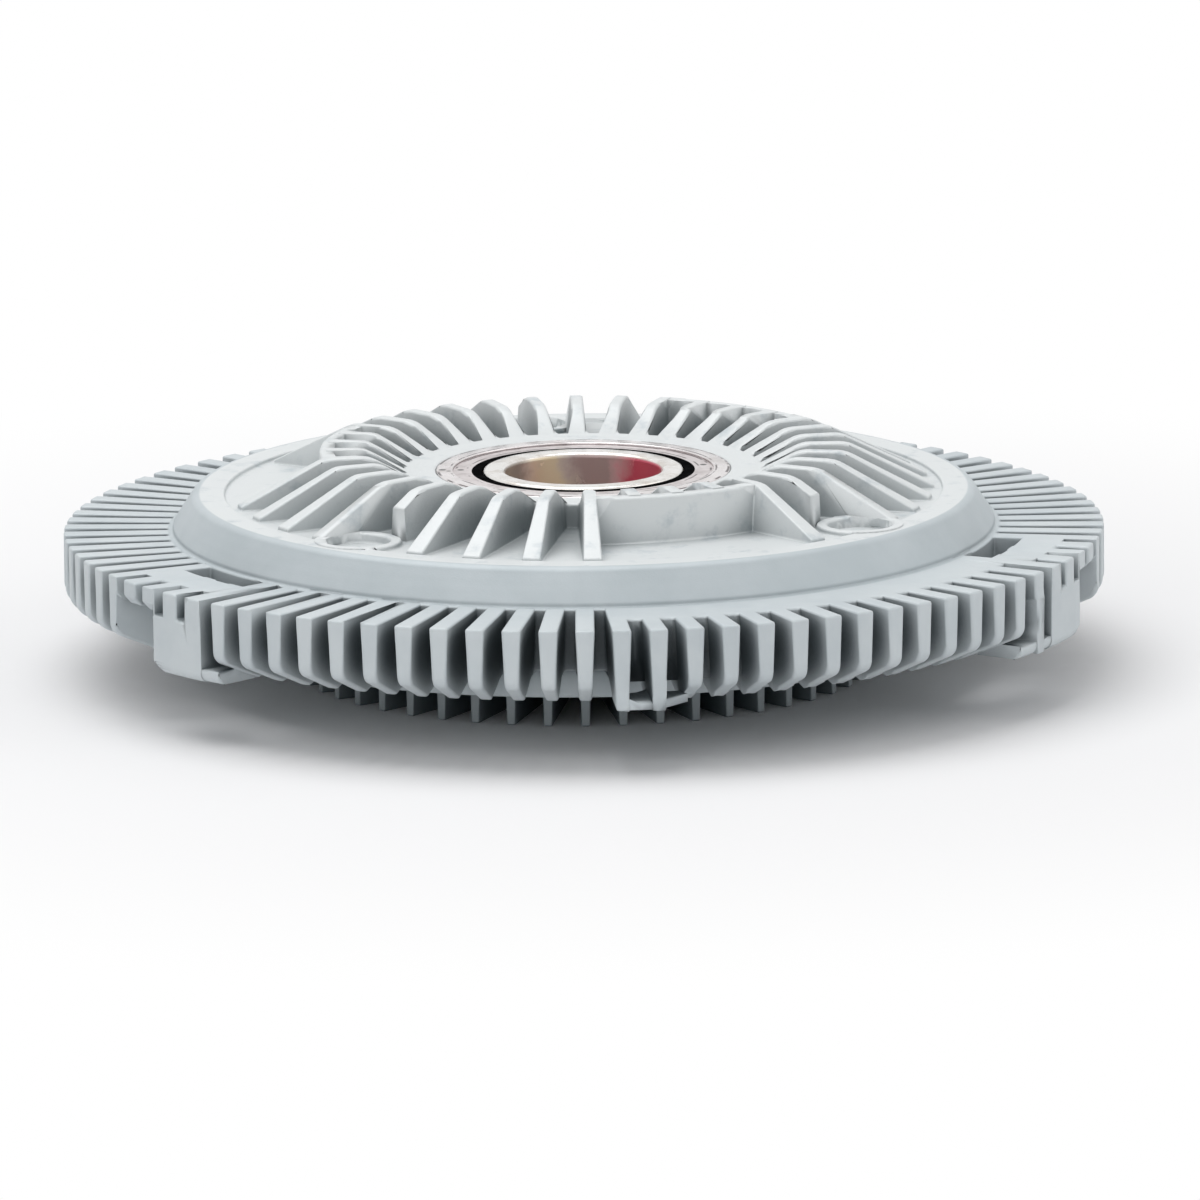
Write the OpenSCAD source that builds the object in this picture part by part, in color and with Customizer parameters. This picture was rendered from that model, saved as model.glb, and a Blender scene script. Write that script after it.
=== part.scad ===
// Viscous fan clutch of a truck engine, standing on the fins of its front cover.
// The engine side points up (+Z), and the origin lies on the axis in the plane it stands on.

/* [Rim fins] */
// Outer diameter over the rim fins
outer_d = 300; // [296:1:308]
// Diameter of the body wall that the rim fins grow from
body_d = 240; // [237:1:244]
// Number of rim fins, a multiple of six
rim_fins = 90; // [84:6:96]
// Thickness of a rim fin at its top edge
rim_fin_top_t = 5.5; // [4.8:0.1:6]
// Thickness of a rim fin at its tip
rim_fin_tip_t = 3.6; // [2.8:0.1:4.4]
// Height of a rim fin from its top edge to its tip
rim_fin_h = 23.4; // [22:0.1:25]
// Height of the slanted corner below a rim fin's outer edge
rim_corner_h = 6.6; // [5:0.1:8]
// Distance of a rim fin's tip from its outer edge
rim_tip_inset = 15; // [12:0.5:18]
// Radius that rounds the top of the slanted corner
rim_corner_r = 4; // [2:0.5:6]
// Height of the body wall above the parting plane
rim_wall_h = 18; // [16:0.5:20]
// Radial width of the ledge in the sector with short slots
ledge_w = 15; // [10:0.5:18]
// Thickness of the web that joins a block of fins at the bottom
web_t = 2.4; // [1.8:0.1:4]
// Radial width of the web that joins a block of fins
web_w = 13; // [11:0.5:15]
// Distance of the web's free end behind the rim
web_taper = 9; // [6:0.5:9.5]

/* [Fan bosses] */
// Pitch circle of the fan bolts
fan_pcd = 278; // [274:1:282]
// Diameter of the tapped hole for a fan bolt
fan_hole_d = 6.8; // [5:0.1:8.5]
// Depth of the tapped hole for a fan bolt
fan_hole_depth = 13; // [10:0.5:15]
// Height of the stub fins over a boss
stub_fin_h = 7.4; // [7.2:0.1:8.5]
// Radial length of the stub fins over a boss
stub_fin_l = 9.5; // [7:0.5:11]
// Width of the slots between the stub fins
stub_slot_w = 4; // [3.2:0.1:4.2]
// Thickness of the plate that carries the stub fins
boss_plate_t = 7; // [6:0.1:7]
// Bevel below the outer edge of a stub fin
stub_bevel = 2.5; // [1:0.1:4]
// Bevel at the lower corner of a boss's free end
boss_bevel = 3.5; // [1:0.1:5]
// Radial width of the window between a boss and the body wall
window_w = 8.3; // [6:0.1:10]
// Distance of a boss's lower face below the rim fin tips
boss_drop = 0.6; // [0.2:0.1:1.5]
// Height of the foot beside a boss
foot_h = 4.2; // [3.6:0.1:6]
// Radial width of the foot beside a boss
foot_w = 15; // [10:0.5:18]
// Radius that rounds the lower edge of a boss and its foot
foot_r = 3; // [1:0.5:3.5]

/* [Disc] */
// Rise of the cone from the rim fins to the flat ring
cone_rise = 10.6; // [9:0.1:12]
// Radial width of the cone with its lip
cone_w = 7.6; // [6:0.1:10]
// Radius between the cone and the flat ring
ring_edge_r = 3; // [1:0.1:4]
// Radial width of the flat ring
flat_ring_w = 8.9; // [7:0.1:11]
// Height of the lip at the foot of the cone
cone_lip_h = 1.2; // [0.6:0.1:2]
// Width of the lip at the foot of the cone
cone_lip_w = 1.5; // [0.8:0.1:2.5]
// Depth of the pocket between the hub fins below the flat ring
pocket_depth = 1.2; // [0.8:0.1:2]
// Diameter of the round recesses beside the flat ring
recess_d = 18.5; // [14:0.5:18.5]
// Depth of the round recesses
recess_depth = 2.5; // [1:0.1:3]
// Distance of the round recesses' centres inside the pocket's edge
recess_inset = 6.5; // [4.5:0.5:8.5]
// Width of the raised rim round a recess
recess_rim = 3.2; // [2:0.1:4]
// Height of the raised rim above the flat ring
recess_rise = 0.4; // [0.2:0.1:0.8]

/* [Hub fins] */
// Thickness of a hub fin at its base
hub_fin_base_t = 5.6; // [4:0.1:6]
// Thickness of a hub fin at its top edge
hub_fin_top_t = 3.6; // [2:0.1:4]
// Height of the hub fins above the hub's end face
hub_fin_rise = 6.6; // [5:0.1:9]
// Radial distance where a hub fin reaches its full height
fin_peak_in = 63; // [59:0.5:68]
// Radial distance where a hub fin starts to slope down
fin_peak_out = 76; // [73:0.5:80]
// Radius that rounds the top corners of a hub fin
fin_peak_r = 10; // [4:1:12]
// Distance of a hub fin's foot inside the pocket's edge
fin_foot_inset = 2.5; // [0.5:0.5:6]
// Thickness of the arc walls between the hub fins
arc_wall_t = 4; // [2.5:0.1:6]

/* [Bearing] */
// Outer diameter of the ball bearing
bearing_od = 85; // [82:1:88]
// Width of the ball bearing
bearing_w = 19; // [17.5:0.5:21]
// Diameter of the bearing balls
ball_d = 12.7; // [11:0.1:13]
// Number of bearing balls
ball_count = 9; // [7:1:9]
// Radial thickness of the outer ring at its shoulders
outer_ring_t = 4.9; // [4.3:0.1:5.5]
// Wall of the input hub at the inner shoulders
inner_ring_t = 6.4; // [5.8:0.1:7]
// Radial thickness of the ball cage
cage_t = 2.8; // [2:0.1:3.4]
// Wall of the ball cage above and below the balls
cage_wall = 1; // [0.7:0.1:1.2]
// Thickness of a bearing shield
shield_t = 0.8; // [0.5:0.1:1]
// Distance of a bearing shield below the bearing's face
shield_inset = 0.6; // [0.3:0.1:0.8]
// Radial depth of the groove that holds a shield
shield_groove = 0.8; // [0.5:0.1:1.2]
// Radial width of the rubber lip inside a shield
seal_lip_w = 3; // [2:0.1:3.6]
// Wall of the hub ring round the bearing
hub_wall = 9.5; // [8:0.5:11]
// Thickness of the shoulder under the bearing
seat_lip_t = 3.6; // [2.5:0.1:4.5]
// Radial width of the shoulder under the bearing
seat_lip_w = 3.5; // [2.5:0.1:4]

/* [Input hub and rotor] */
// Diameter of the bore for the input shaft
input_bore_d = 45; // [42:0.5:46]
// Depth of the bore for the input shaft
input_bore_depth = 25; // [22:0.5:26]
// Chamfer at the mouth of the input bore
input_chamfer = 1; // [0.5:0.1:1.5]
// Diameter of the spigot that centres the rotor
rotor_spigot_d = 50; // [46:1:56]
// Diameter of the input hub's flange
hub_flange_d = 88; // [84:1:94]
// Thickness of the input hub's flange
hub_flange_t = 3.2; // [2.8:0.1:3.4]
// Thickness of the rotor disc
rotor_t = 4; // [3.5:0.1:5]
// Number of ring lands on the rotor
land_count = 7; // [4:1:7]
// Pitch of the ring lands
land_pitch = 4.6; // [4.4:0.1:4.8]
// Thickness of a ring land
land_t = 1.7; // [1.4:0.05:1.75]
// Height of the rotor's ring lands
land_h = 4.4; // [4.2:0.1:5]
// Width of the rotor's plain rim outside the lands
rotor_rim_w = 4; // [2:0.5:5]
// Diameter of the fluid return holes in the rotor
rotor_hole_d = 6; // [4:0.5:7]
// Pitch circle of the rotor rivets
rivet_pcd = 74; // [72:1:76]
// Diameter of a rotor rivet
rivet_d = 5; // [4:0.5:6]
// Number of rotor rivets
rivet_count = 6; // [4:1:8]

/* [Front cover] */
// Thickness of the body wall round the rotor chamber
chamber_wall = 24; // [22.5:0.5:26]
// Height of the cooling fins under the cover
cover_fin_h = 16; // [15:0.5:19]
// Number of cooling fins under the cover
cover_fins = 48; // [36:6:48]
// Outer diameter over the cover's fins
cover_fin_od = 165; // [150:1:175]
// Inner diameter of the ring of cover fins
cover_fin_id = 90; // [88:1:100]
// Thickness of a cover fin at its root
cover_fin_root_t = 3.2; // [2.5:0.1:3.8]
// Thickness of a cover fin at its tip
cover_fin_tip_t = 2.4; // [1.8:0.1:2.5]
// Thickness of the cover's floor
cover_floor_t = 4.5; // [4:0.1:6]
// Depth of the fluid reservoir in the cover
reservoir_depth = 3.5; // [3.3:0.1:5]
// Radial distance of the cover's edge inside the body wall
cover_inset = 2; // [1:0.5:3]
// Distance of the cover screws inside the body wall
cover_screw_inset = 10.5; // [9.5:0.5:11]
// Number of cover screws
cover_screw_count = 12; // [8:2:12]
// Diameter of the cover screws' shanks
cover_screw_d = 6; // [5:0.5:6]
// Height of the cover screws' heads, sunk in the cover
cover_head_h = 5; // [4:0.5:5.5]
// Width of the cover screws' heads across the flats
cover_head_w = 10; // [8:0.5:10]
// Length of the cover screws in the housing
cover_screw_grip = 11; // [9:0.5:13]
// Diameter of the locating pins
pin_d = 5; // [4:0.5:6]
// Length of a locating pin on each side of the parting plane
pin_half_l = 5; // [4:0.5:6.5]
// Diameter of the cover seal's section
seal_d = 2.4; // [1.8:0.1:2.8]
// Distance of the cover seal from the chamber wall
seal_offset = 4.2; // [3:0.1:5]

/* [Pump plate and valve] */
// Thickness of the pump plate
plate_t = 2; // [1.9:0.1:2.6]
// Width of the land that the pump plate is screwed to
plate_land = 7; // [6:0.5:9]
// Diameter of the pump plate's screws
plate_screw_d = 3; // [2.5:0.1:3.4]
// Number of the pump plate's screws
plate_screw_count = 6; // [4:1:8]
// Diameter of the valve port in the pump plate
port_d = 8; // [5:0.5:9]
// Radial distance of the valve port from the axis
port_r = 66; // [55:1:72]
// Height of the wiper on the pump plate
wiper_h = 0.6; // [0.4:0.05:0.7]
// Length of the wiper along the plate's edge
wiper_l = 10; // [6:0.5:14]
// Width of the wiper
wiper_w = 5; // [3:0.5:6]
// Diameter of the valve shaft
valve_shaft_d = 8; // [7:0.1:9]
// Wall of the bush that the valve shaft turns in
valve_bush_t = 2.4; // [2:0.1:3]
// Wall of the cover's boss round the bush
valve_boss_wall = 3.6; // [3:0.1:5]
// Height of the boss below the cover's outer face
valve_boss_h = 3.2; // [2:0.1:3.6]
// Thickness of the valve arm
valve_arm_t = 1; // [0.8:0.1:1.1]
// Width of the valve arm
valve_arm_w = 10; // [10:0.5:13]

/* [Bimetal coil] */
// Width of the bimetal strip
coil_w = 8; // [6:0.5:9]
// Thickness of the bimetal strip
coil_t = 1.2; // [0.9:0.1:1.6]
// Number of turns of the bimetal strip
coil_turns = 3.5; // [2.5:1:3.5]
// Distance between the turns of the bimetal strip
coil_pitch = 4.5; // [3.5:0.1:4.8]
// Radius where the bimetal strip's turns start
coil_start_r = 7.5; // [7:0.1:9]
// Radial length of the tail that holds the coil
coil_tail = 7; // [5:0.5:8]
// Thickness of the coil's anchor
anchor_t = 1.5; // [1.2:0.1:2]
// Length of the coil's anchor along the radius
anchor_l = 14; // [13:0.5:15]
// Width of the anchor's foot
anchor_w = 11; // [10:0.5:12]
// Diameter of the anchor's screws
anchor_screw_d = 3; // [2.5:0.1:3.4]

/* [Clearances] */
// Gap between the rotor's rim and the chamber wall
rotor_gap = 2; // [1.5:0.1:3]
// Gap between the ring lands and the disc opposite
land_gap = 0.6; // [0.5:0.05:1]
// Gap between the pump plate and the rotor
plate_gap = 1; // [0.9:0.05:1.4]
// Gap between a ball and its tracks
ball_gap = 0.2; // [0.1:0.05:0.3]
// Gap between a ball and its cage pocket
cage_gap = 0.2; // [0.1:0.05:0.3]
// Gap between a rubber lip and the input hub
lip_gap = 0.3; // [0.2:0.05:0.5]
// Radial gap of the valve shaft in its bush
shaft_gap = 0.05; // [0.02:0.01:0.1]
// Radial gap of a screw or pin in its hole
screw_gap = 0.05; // [0.02:0.01:0.1]
// Gap of the valve arm above the boss and below the plate
arm_gap = 0.5; // [0.4:0.05:0.6]

/* [Hidden] */
$fn = 96;

// How far a cut runs past a face, and how far a fused piece is let into its carrier
over = 1;
let_in = 1;

// Heights from the plane it stands on
cover_face_z = cover_fin_h;
reservoir_z = cover_face_z + cover_floor_t;
parting_z = reservoir_z + reservoir_depth;
plate_top_z = parting_z + plate_t;
rotor_z = plate_top_z + plate_gap;
rotor_top_z = rotor_z + rotor_t;
land_top_z = rotor_top_z + land_h;
ceiling_z = land_top_z + land_gap;
bearing_z = ceiling_z + seat_lip_t;
ball_z = bearing_z + bearing_w / 2;
hub_face_z = bearing_z + bearing_w;
rim_top_z = parting_z + rim_wall_h;
tip_z = rim_top_z - rim_fin_h;
boss_z = tip_z - boss_drop;
ring_z = rim_top_z + cone_rise;
floor_z = ring_z - pocket_depth;
peak_z = hub_face_z + hub_fin_rise;

// Radii
outer_r = outer_d / 2;
body_r = body_d / 2;
ring_r = body_r - cone_w;
pocket_r = ring_r - flat_ring_w;
recess_r = pocket_r - recess_inset;
fin_foot = pocket_r - fin_foot_inset;
window_r = body_r + window_w;
seat_r = bearing_od / 2;
hub_ring_r = seat_r + hub_wall;
seat_lip_r = seat_r - seat_lip_w;
chamber_r = body_r - chamber_wall;
rotor_r = chamber_r - rotor_gap;
cover_r = body_r - cover_inset;
cover_screw_r = body_r - cover_screw_inset;
plate_r = rotor_r;
reservoir_r = plate_r - plate_land;
seal_r = chamber_r + seal_offset;
ball_r = ball_d / 2;
ball_path_r = (input_bore_d + bearing_od) / 4;
inner_shoulder_r = input_bore_d / 2 + inner_ring_t;
outer_shoulder_r = seat_r - outer_ring_t;
shield_r = outer_shoulder_r + shield_groove;
lip_r = inner_shoulder_r + lip_gap;
shield_in_r = lip_r + seal_lip_w;
input_bore_r = input_bore_d / 2;
valve_shaft_r = valve_shaft_d / 2;
bush_in_r = valve_shaft_r + shaft_gap;
bush_r = bush_in_r + valve_bush_t;
boss_r = bush_r + valve_boss_wall;
coil_end_r = coil_start_r + coil_pitch * coil_turns;

// Rim layout: fin 0 points to the front, and fins count counter-clockwise seen from above
front = 270;
rim_step = 360 / rim_fins;
third = rim_fins / 3;
block_fin = 2;
first_boss = block_fin + third / 2;
// Each boss: the fin at its bolt hole, the side its plate reaches to, and the slots its foot closes
BOSSES = [[first_boss, 1, 2], [first_boss + third, -1, 1], [first_boss + 2 * third, -1, 1]];
BLOCKS = [block_fin, block_fin + third, block_fin + 2 * third];
// A web ends this share of a fin step past its block, inside the next fin
web_reach = 0.95;
// A boss's solid block ends this share of a fin step past its bolt hole
boss_reach = 0.75;
// A boss begins this share of a fin step before its first fin, so that it holds the whole fin
boss_lead = 0.34;
stub_slots = 4;
// A foot runs this share of a fin step into its boss
foot_overlap = 0.2;
// Webs, feet and arc walls lie this far behind the faces of the fins and bosses that they join
setback = 0.3;

// Hub fin layout: every wall closes four spaces, and the fin beside a recess is cut short
hub_fins = 36;
hub_step = 360 / hub_fins;
first_hub_fin = 271.4;
wall_spaces = 4;
WALLS = [0, 12, 24];
recess_offset = 2.95;
// Each recess: the hub fin beside it, and the side of that fin it lies on
RECESS_FINS = [[32, -1], [5, 1], [19, -1]];
RECESSES = [for (r = RECESS_FINS) hub_angle(r[0]) + r[1] * recess_offset];

// Valve layout
port_angle = 90;
wiper_angle = 200;
shaft_z = 2.5;
coil_offset = 0.5;
coil_z = shaft_z + coil_offset;
boss_top_z = parting_z - valve_arm_t - 2 * arm_gap;
shaft_seal_h = 2;
arm_z = boss_top_z + arm_gap;
plate_screw_r = plate_r - plate_land / 2;
rivet_head_h = 0.8;
rivet_head_over = 1.5;
cover_washer_t = 1;
cover_washer_over = 1.25;
cover_washer_d = cover_head_w + 2 * cover_washer_over;
cover_seat_z = cover_face_z + cover_head_h;
head_gap = 0.4;
plate_screw_floor = 2;
seal_room = 0.6;
anchor_head_h = 2;
anchor_head_d = 5.5;
anchor_bite = 3;

function rim_angle(fin) = front + fin * rim_step;
function on_rim(radius, fin) = radius * [cos(rim_angle(fin)), sin(rim_angle(fin))];
function hub_angle(fin) = first_hub_fin + fin * hub_step;
function slope_z(radius) =
    peak_z - (peak_z - ring_z) * (radius - fin_peak_out) / (fin_foot - fin_peak_out);
function arc_points(centre, radius, from, to, steps = 6) =
    [for (k = [0 : steps]) centre + radius * [cos(from + (to - from) * k / steps),
                                              sin(from + (to - from) * k / steps)]];
function in_boss(fin) =
    len([for (b = BOSSES, k = [0 : stub_slots - 2])
        if ((b[0] + b[1] * k - fin) % rim_fins == 0) 1]) > 0;
function near_angle(a, b, reach) = abs((a - b + 540) % 360 - 180) < reach;
function at_recess(angle) =
    len([for (a = RECESSES) if (near_angle(angle, a, hub_step / 2)) 1]) > 0;
function in_wall(k) =
    len([for (w = WALLS) if (k > w && k < w + wall_spaces) 1]) > 0;

// A ring of rectangular section round the axis
module ring(inner, outer, low, high) {
    rotate_extrude() translate([inner, low]) square([outer - inner, high - low]);
}

// A half section turned from one angle to another
module sector(from, to) {
    rotate([0, 0, min(from, to)]) rotate_extrude(angle = abs(to - from)) children();
}

// A stretch of a ring of rectangular section between two angles
module arc_ring(inner, outer, low, high, from, to) {
    sector(from, to) translate([inner, low]) square([outer - inner, high - low]);
}

// A straight prism along a radius whose thickness changes from its low to its high edge
module radial_prism(inner, outer, low, high, low_t, high_t) {
    translate([inner, 0, 0]) rotate([90, 0, 90])
        linear_extrude(outer - inner)
            polygon([[-low_t / 2, low], [low_t / 2, low], [high_t / 2, high], [-high_t / 2, high]]);
}

// A cylinder that stands on a pitch circle
module on_circle(radius, angle) {
    rotate([0, 0, angle]) translate([radius, 0, 0]) children();
}

// Outline of the rim fins in one half section
module rim_section() {
    turn = atan2(rim_tip_inset, rim_corner_h);
    rounded = rim_corner_r * tan(turn / 2);
    polygon(concat(
        [[body_r - let_in, parting_z], [body_r - let_in, rim_top_z], [outer_r, rim_top_z]],
        arc_points([outer_r - rim_corner_r, tip_z + rim_corner_h + rounded], rim_corner_r, 0, -turn),
        [[outer_r - rim_tip_inset, tip_z]]));
}

module rim_fin_blank(fin, inner) {
    rotate([0, 0, rim_angle(fin)])
        radial_prism(inner, outer_r + over, tip_z, rim_top_z, rim_fin_tip_t, rim_fin_top_t);
}

module rim_fin_ring() {
    intersection() {
        rotate_extrude() rim_section();
        union() {
            for (fin = [0 : rim_fins - 1])
                if (!in_boss(fin)) rim_fin_blank(fin, body_r - 2 * let_in);
        }
    }
}

// Fins with square lower corners, for blocks and feet
module square_fins(fins) {
    intersection() {
        ring(outer_r - rim_tip_inset, outer_r, tip_z, rim_top_z);
        union() {
            for (fin = fins) rim_fin_blank(fin, outer_r - rim_tip_inset - over);
        }
    }
}

// Block of square fins with a web between their tips that runs out into the next fin
module rim_block(fin) {
    face_r = outer_r - setback;
    back_r = outer_r - web_w;
    square_fins([fin - 1, fin]);
    translate([0, 0, tip_z + setback])
        linear_extrude(web_t)
            polygon([
                on_rim(back_r, fin), on_rim(back_r, fin - 1), on_rim(face_r, fin - 1),
                on_rim(face_r, fin - 0.5), on_rim(face_r, fin),
                on_rim(outer_r - web_taper, fin + web_reach), on_rim(back_r, fin + web_reach)]);
}

// Half section of a boss or its foot with a rounded lower edge
module boss_section(inner, high, inset) {
    polygon(concat(
        [[outer_r - inset, high], [inner, high], [inner, boss_z + inset]],
        arc_points([outer_r - foot_r, boss_z + foot_r], foot_r - inset, -90, 0)));
}

// Half section of the open space under the stub fins
module void_section() {
    plate_z = rim_top_z - boss_plate_t;
    polygon([
        [window_r - over, boss_z - over], [outer_r + over, boss_z - over],
        [outer_r + over, plate_z + stub_bevel + over], [outer_r - stub_bevel, plate_z],
        [window_r - over, plate_z]]);
}

// Solid fan boss with its plate of stub fins; the window lies between it and the body wall
module fan_boss(boss) {
    fin = boss[0];
    side = boss[1];
    near = rim_angle(fin - side * (1 + boss_lead));
    far = rim_angle(fin + 3 * side);
    block_end = rim_angle(fin + boss_reach * side);
    bevel_side = (boss_bevel + over) * sqrt(2);
    difference() {
        sector(near, far) boss_section(window_r, rim_top_z, 0);
        sector(block_end, far + side * rim_step) void_section();
        on_circle((window_r + outer_r) / 2, block_end) translate([0, 0, boss_z - over])
            rotate([45, 0, 0])
                cube([outer_r - window_r + 2 * over, bevel_side, bevel_side], center = true);
        for (k = [0 : stub_slots - 1])
            rotate([0, 0, rim_angle(fin + side * (k - 0.5))])
                radial_prism(outer_r - stub_fin_l, outer_r + over, rim_top_z - stub_fin_h,
                    rim_top_z + over, stub_slot_w, stub_slot_w);
        on_circle(fan_pcd / 2, rim_angle(fin))
            translate([0, 0, boss_z - over]) cylinder(d = fan_hole_d, h = fan_hole_depth + over);
    }
    if (boss[2] > 1) square_fins([for (k = [2 : boss[2]]) fin - side * k]);
    sector(rim_angle(fin - side * (1 - foot_overlap)), rim_angle(fin - side * (1 + boss[2])))
        boss_section(outer_r - foot_w, boss_z + foot_h, setback);
}

// Hub fin: a profile along the radius, drafted to a thinner top edge
module hub_fin(k) {
    angle = hub_angle(k);
    inner = hub_ring_r - let_in;
    low = floor_z - let_in;
    rise = atan2(hub_fin_rise, fin_peak_in - inner);
    fall = atan2(peak_z - ring_z, fin_foot - fin_peak_out);
    crown_in = [fin_peak_in + fin_peak_r * tan(rise / 2), peak_z - fin_peak_r];
    crown_out = [fin_peak_out - fin_peak_r * tan(fall / 2), peak_z - fin_peak_r];
    wall_end = fin_peak_out - arc_wall_t / 2;
    recess_end = recess_r - recess_d / 2 - recess_rim;
    shoulder = arc_points(crown_out, fin_peak_r, 90, 90 - fall, 4);
    outer_end = in_wall(k) ? [[wall_end, peak_z], [wall_end, low]]
        : at_recess(angle) ? concat(shoulder, [[recess_end, slope_z(recess_end)], [recess_end, low]])
        : concat(shoulder, [[fin_foot, ring_z], [fin_foot, low]]);
    rotate([0, 0, angle]) intersection() {
        rotate([90, 0, 0]) linear_extrude(2 * hub_fin_base_t, center = true)
            polygon(concat(
                [[inner, low], [inner, hub_face_z]],
                arc_points(crown_in, fin_peak_r, 90 + rise, 90, 4),
                outer_end));
        radial_prism(inner - over, fin_foot + over, low, peak_z, hub_fin_base_t, hub_fin_top_t);
    }
}

module hub_fin_ring() {
    for (k = [0 : hub_fins - 1]) hub_fin(k);
    for (w = WALLS)
        arc_ring(fin_peak_out - arc_wall_t, fin_peak_out, floor_z - let_in, peak_z - setback,
            hub_angle(w), hub_angle(w + wall_spaces));
}

// Half section of the housing's disc, hub ring and body wall
module housing_section() {
    slope = atan2(cone_rise - cone_lip_h, cone_w - cone_lip_w);
    edge = [ring_r - ring_edge_r * tan(slope / 2), ring_z - ring_edge_r];
    polygon(concat(
        [[seat_lip_r, ceiling_z], [seat_lip_r, bearing_z], [seat_r, bearing_z], [seat_r, hub_face_z],
         [hub_ring_r, hub_face_z], [hub_ring_r, floor_z], [pocket_r, floor_z], [pocket_r, ring_z]],
        arc_points(edge, ring_edge_r, 90, 90 - slope),
        [[body_r - cone_lip_w, rim_top_z + cone_lip_h], [body_r - cone_lip_w, rim_top_z],
         [body_r, rim_top_z], [body_r, parting_z], [chamber_r, parting_z], [chamber_r, ceiling_z]]));
}

// Ring lands that hang between those of the rotor
module housing_lands() {
    for (k = [0 : land_count - 2]) {
        middle = rotor_r - rotor_rim_w - land_pitch * (k + 0.5);
        ring(middle - land_t, middle, rotor_top_z + land_gap, ceiling_z + let_in);
    }
}

// Disc, wall and ledge with the recesses and the holes for the cover's screws and pins
module housing_body() {
    difference() {
        union() {
            rotate_extrude() housing_section();
            housing_lands();
            arc_ring(body_r - let_in, body_r + ledge_w, parting_z, rim_top_z,
                rim_angle(block_fin - 1), rim_angle(first_boss - 1));
            for (angle = RECESSES)
                on_circle(recess_r, angle) translate([0, 0, floor_z - let_in])
                    cylinder(r = recess_d / 2 + recess_rim, h = let_in + pocket_depth + recess_rise);
        }
        for (angle = RECESSES)
            on_circle(recess_r, angle) translate([0, 0, ring_z - recess_depth])
                cylinder(d = recess_d, h = recess_depth + over);
        cover_screw_places() translate([0, 0, parting_z - over])
            cylinder(r = cover_screw_d / 2 + screw_gap, h = cover_screw_grip + 2 * over);
        pin_places() translate([0, 0, parting_z - over])
            cylinder(r = pin_d / 2 + screw_gap, h = pin_half_l + over);
    }
}

module rear_housing() {
    color("#c3cbce") union() {
        housing_body();
        rim_fin_ring();
        for (fin = BLOCKS) rim_block(fin);
        for (boss = BOSSES) fan_boss(boss);
        hub_fin_ring();
    }
}

module cover_screw_places() {
    for (k = [0 : cover_screw_count - 1])
        on_circle(cover_screw_r, k * 360 / cover_screw_count) children();
}

module pin_places() {
    for (angle = [0, 180])
        on_circle(cover_screw_r, angle + 180 / cover_screw_count) children();
}

module plate_screw_places() {
    for (k = [0 : plate_screw_count - 1])
        on_circle(plate_screw_r, k * 360 / plate_screw_count) children();
}

module anchor_screw_places() {
    for (k = [-1, 1])
        translate([-coil_end_r - anchor_l / 2 + k * anchor_l / 4,
            coil_t / 2 + anchor_t + (anchor_w - anchor_t) / 2, 0]) children();
}

// Half section of the cover with its reservoir and the boss round the valve shaft
module cover_section() {
    polygon([
        [bush_r, cover_face_z - valve_boss_h], [boss_r, cover_face_z - valve_boss_h],
        [boss_r, cover_face_z], [cover_r, cover_face_z], [cover_r, parting_z],
        [reservoir_r, parting_z], [reservoir_r, reservoir_z], [boss_r, reservoir_z],
        [boss_r, boss_top_z], [bush_r, boss_top_z]]);
}

module front_cover() {
    color("#b9c0c2") difference() {
        union() {
            rotate_extrude() cover_section();
            for (k = [0 : cover_fins - 1])
                rotate([0, 0, front + k * 360 / cover_fins])
                    radial_prism(cover_fin_id / 2, cover_fin_od / 2, 0, cover_face_z + let_in,
                        cover_fin_tip_t, cover_fin_root_t);
        }
        ring(seal_r - seal_d / 2 - seal_room, seal_r + seal_d / 2 + seal_room,
            parting_z - seal_d, parting_z + over);
        cover_screw_places() {
            translate([0, 0, cover_face_z - over])
                cylinder(r = cover_screw_d / 2 + screw_gap, h = parting_z - cover_face_z + 2 * over);
            translate([0, 0, cover_face_z - over])
                cylinder(r = cover_washer_d / 2 + head_gap, h = cover_head_h + over);
        }
        pin_places() translate([0, 0, parting_z - pin_half_l])
            cylinder(r = pin_d / 2 + screw_gap, h = pin_half_l + over);
        plate_screw_places() translate([0, 0, cover_face_z + plate_screw_floor])
            cylinder(r = plate_screw_d / 2 + screw_gap, h = parting_z - cover_face_z);
        anchor_screw_places() translate([0, 0, cover_face_z - over])
            cylinder(r = anchor_screw_d / 2 + screw_gap, h = anchor_bite + over);
    }
}

// Flanged hexagon screws, sunk flush in the cover's face
module cover_screws() {
    color("#8f9598") cover_screw_places() {
        translate([0, 0, cover_face_z])
            cylinder(d = cover_head_w / cos(30), h = cover_head_h - cover_washer_t, $fn = 6);
        translate([0, 0, cover_seat_z - cover_washer_t])
            cylinder(d = cover_washer_d, h = cover_washer_t);
        translate([0, 0, cover_seat_z - let_in])
            cylinder(d = cover_screw_d, h = parting_z - cover_seat_z + let_in + cover_screw_grip);
    }
}

module cover_seal() {
    color("#222426") rotate_extrude() translate([seal_r, parting_z - seal_d / 2]) circle(d = seal_d);
}

module locating_pins() {
    color("#8f9598") pin_places() translate([0, 0, parting_z - pin_half_l])
        cylinder(d = pin_d, h = 2 * pin_half_l);
}

// The track that the balls run in
module ball_track() {
    rotate_extrude() translate([ball_path_r, ball_z]) circle(r = ball_r + ball_gap);
}

module bearing_outer_ring() {
    color("#c9cccd") difference() {
        ring(outer_shoulder_r, seat_r, bearing_z, hub_face_z);
        ball_track();
        ring(outer_shoulder_r - over, shield_r, bearing_z + shield_inset,
            bearing_z + shield_inset + shield_t);
        ring(outer_shoulder_r - over, shield_r, hub_face_z - shield_inset - shield_t,
            hub_face_z - shield_inset);
    }
}

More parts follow.
